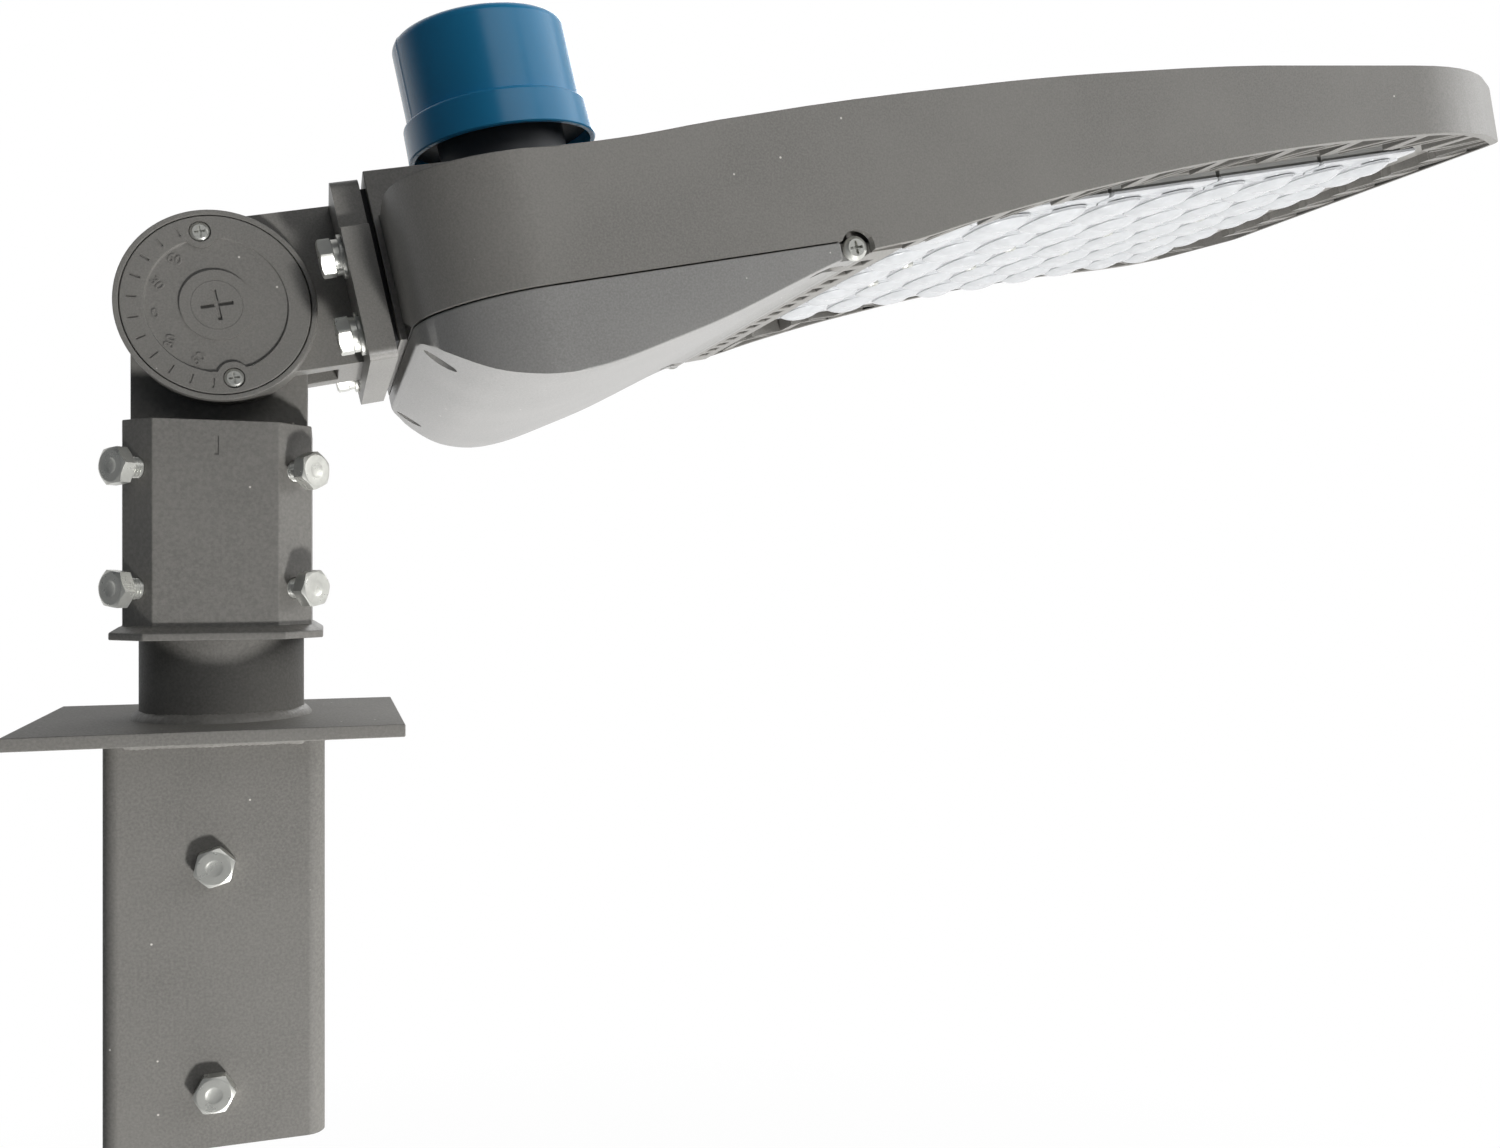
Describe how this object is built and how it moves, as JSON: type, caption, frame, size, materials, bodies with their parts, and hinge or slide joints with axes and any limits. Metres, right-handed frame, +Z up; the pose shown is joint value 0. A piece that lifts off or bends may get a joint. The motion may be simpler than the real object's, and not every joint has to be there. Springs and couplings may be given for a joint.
{
  "type": "outdoor area light",
  "caption": "Shoebox LED area light with a slip fitter knuckle on a square pole insert adapter, with a hinged driver door, lens modules and a twist-lock control socket cap.",
  "frame": {"origin": "centre of the cap plate's underside, where the adapter rests on the pole's top; on the pole's axis", "axes": "+Z up along the pole, +X towards the front of the lamp head, +Y across it; the dial of the knuckle is on the -Y side"},
  "size_m": [0.6248, 0.256, 0.4434],
  "materials": {
    "adapter_steel": "bronze-grey textured powder coat on steel",
    "coated_casting": "die-cast aluminium with bronze-grey textured powder coat",
    "stainless": "plain stainless, slightly dull",
    "black_rubber": "matt",
    "grey_silicone": "matt",
    "driver_case": "plain sheet case, potted",
    "dark_plastic": "moulded, fine texture",
    "white_plastic": "moulded",
    "brass_contact": "plain",
    "blue_plastic": "glossy blue, moulded",
    "board_white": "white solder mask",
    "chip_yellow": "phosphor",
    "clear_lens": "clear moulded optical plastic"
  },
  "bodies": {
    "pole_adapter": {"insert_tube": "adapter_steel", "cap_plate": "adapter_steel", "tenon": "adapter_steel", "weld_fillets": "adapter_steel", "insert_bolts": "stainless", "insert_weld_nuts": "stainless"},
    "fitter": {"slip_fitter": "coated_casting", "set_bolts": "stainless"},
    "lamp_head": {"knuckle_arm": "coated_casting", "knuckle_bolt": "stainless", "knuckle_nut": "stainless", "knuckle_washers": "stainless", "dial_cover": "coated_casting", "dial_cover_screws": "stainless", "dial_plug": "coated_casting", "back_cover": "coated_casting", "back_cover_screws": "stainless", "back_plug": "coated_casting", "flange_bolts": "stainless", "flange_spring_washers": "stainless", "flange_flat_washers": "stainless", "flange_gasket": "black_rubber", "housing": "coated_casting", "heat_sink_fins": "coated_casting", "door_hinge_screws": "stainless", "led_driver": "driver_case", "driver_screws": "stainless", "surge_protector": "dark_plastic", "terminal_block": "white_plastic", "socket_gasket": "black_rubber", "photocell_socket": "dark_plastic", "socket_contacts": "brass_contact", "socket_screws": "stainless", "led_boards": "board_white", "led_chips": "chip_yellow", "lens_modules": "clear_lens", "lens_gaskets": "grey_silicone", "lens_screws": "stainless", "breather_plug": "dark_plastic"},
    "door": {"compartment_door": "coated_casting", "door_gasket": "black_rubber", "door_screws": "stainless"},
    "cap": {"shorting_cap": "blue_plastic", "cap_base": "dark_plastic", "cap_blades": "brass_contact"}
  },
  "joints": [
    {"name": "fitter_turn", "type": "hinge", "parent": "pole_adapter", "child": "fitter", "pos_m": [0, 0, 0.111], "axis": [0, 0, 1], "range_deg": [-180, 180]},
    {"name": "knuckle_tilt", "type": "hinge", "parent": "fitter", "child": "lamp_head", "pos_m": [0, 0, 0.1608], "axis": [0, -1, 0], "range_deg": [-20, 77.5]},
    {"name": "door_swing", "type": "hinge", "parent": "lamp_head", "child": "door", "pos_m": [0.21683, 0, 0.17609], "axis": [0, -1, 0], "range_deg": [0, 85]},
    {"name": "cap_twist", "type": "hinge", "parent": "lamp_head", "child": "cap", "pos_m": [0.10981, 0, 0.23841], "axis": [-0.2164, 0, 0.9763], "range_deg": [0, 25]}
  ]
}
